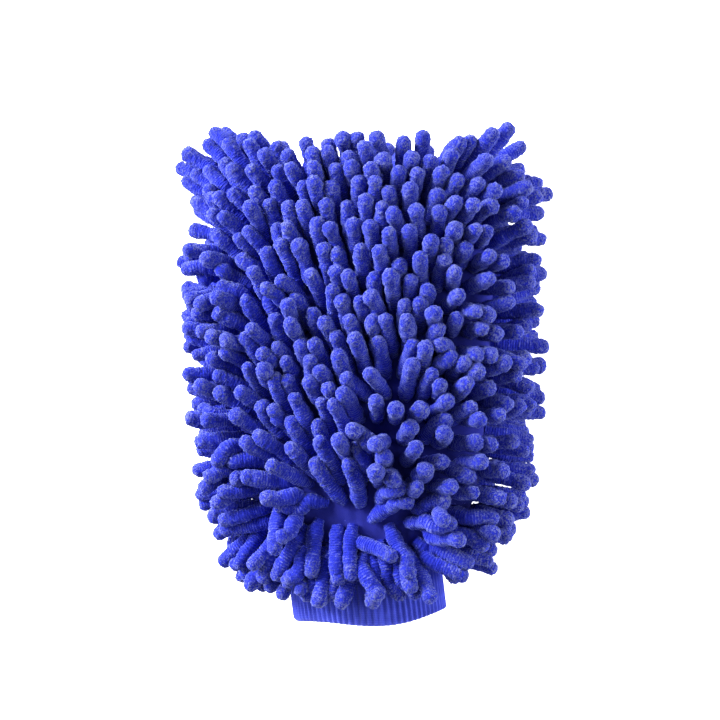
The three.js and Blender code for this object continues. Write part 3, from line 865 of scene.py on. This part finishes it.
def pile_lines(name, lines, radii, numbers):
    """One row's lines of edges, each with its radius and its own number."""
    mesh = bpy.data.meshes.new(name)
    start = np.cumsum([0] + [len(line) for line in lines])
    edges = [(at + i, at + i + 1) for at, line in zip(start, lines) for i in range(len(line) - 1)]
    mesh.from_pydata(np.concatenate(lines).tolist(), edges, [])
    for label, values in (("fat", radii), ("own", numbers)):
        spread = np.repeat(values, [len(line) for line in lines]).astype(np.float32)
        mesh.attributes.new(label, "FLOAT", "POINT").data.foreach_set("value", spread)
    made = bpy.data.objects.new(name, mesh)
    bpy.context.scene.collection.objects.link(made)
    return made


RING_SPACING = 0.75 * MM
NOODLE_SIDES = 18
ROOT_DEPTH = 0.9 * MM  # of the root yarn's middle, under the cloth's face
ROOT_RADIUS = 0.5 * MM
noodles, noodle_inputs = noodle_tree()
chenille_cloth = chenille()
for side, label in ((1, "front"), (-1, "back")):
    for row in range(ROWS):
        mine = np.nonzero((side_of == side) & (row_of == row))[0]
        lines = [laid[i] for i in mine]
        radii = [noodle_radius[i] for i in mine]
        v = np.full(60, row_share(side, row))
        cord = look_up(face - face_out * ROOT_DEPTH, np.linspace(0.01, 0.99, 60), v)
        cord[:, 2] = MIDDLE + side * (cord[:, 2] - MIDDLE)
        lines.append(cord)
        radii.append(ROOT_RADIUS)
        pile = pile_lines(f"{label}_pile_{row + 1:02d}", lines, radii, rng.uniform(0, 1, len(lines)))
        grow(pile, noodles, {
            noodle_inputs["Ring spacing"]: RING_SPACING,
            noodle_inputs["Sides"]: NOODLE_SIDES,
            noodle_inputs["Material"]: chenille_cloth,
        })
        finish_piece(pile, chenille_cloth, "pile", f"{label}_row_{row + 1:02d}")

# Floor, light and camera
# A plain pale floor that glows a little. A soft light comes from the upper left, with weaker ones low on
# both sides, and the mitt is seen from almost straight above.
floor = mesh_piece("floor", [(-4, -4, 0), (4, -4, 0), (4, 4, 0), (-4, 4, 0)], [(0, 1, 2, 3)])
paint = bpy.data.materials.new("Pale floor")
paint.use_nodes = True
floor_shader = paint.node_tree.nodes["Principled BSDF"]
floor_shader.inputs["Base Color"].default_value = (0.92, 0.92, 0.92, 1)
floor_shader.inputs["Roughness"].default_value = 0.9
floor_shader.inputs["Emission Color"].default_value = (1, 1, 1, 1)
floor_shader.inputs["Emission Strength"].default_value = 1.5
floor.data.materials.append(paint)


def look_at(thing, spot, target, up=(0, 1, 0)):
    """Puts a light or camera at spot, facing target, with its own up side towards up."""
    from mathutils import Matrix, Vector

    back = (Vector(spot) - Vector(target)).normalized()
    right = Vector(up).cross(back).normalized()
    turn = Matrix((right, back.cross(right), back)).transposed()
    thing.matrix_world = Matrix.Translation(spot) @ turn.to_4x4()


def soft_light(name, spot, size, power):
    """A square area light that faces the mitt."""
    lamp = bpy.data.lights.new(name, "AREA")
    lamp.size = size
    lamp.energy = power
    made = bpy.data.objects.new(name, lamp)
    bpy.context.scene.collection.objects.link(made)
    look_at(made, spot, (0, 0, MIDDLE))


soft_light("key", (-1.2, 0.85, 0.95), 0.7, 86)
soft_light("fill", (1.2, 0.1, 0.5), 1.0, 20)
soft_light("side", (-1.2, 0.3, 0.4), 1.0, 46)
world = bpy.data.worlds.new("studio")
world.use_nodes = True
world.node_tree.nodes["Background"].inputs["Color"].default_value = (1, 1, 1, 1)
world.node_tree.nodes["Background"].inputs["Strength"].default_value = 0.36
bpy.context.scene.world = world
bpy.context.scene.view_settings.view_transform = "Standard"

camera = bpy.data.objects.new("camera", bpy.data.cameras.new("camera"))
camera.data.lens = 85
bpy.context.scene.collection.objects.link(camera)
CAMERA_TILT = math.radians(16)  # to the right of straight above
CAMERA_DISTANCE = 0.94
aim = np.array([-0.0005, 0.006, MIDDLE])
towards_camera = np.array([math.sin(CAMERA_TILT), 0, math.cos(CAMERA_TILT)])
look_at(camera, aim + CAMERA_DISTANCE * towards_camera, aim)
bpy.context.scene.camera = camera
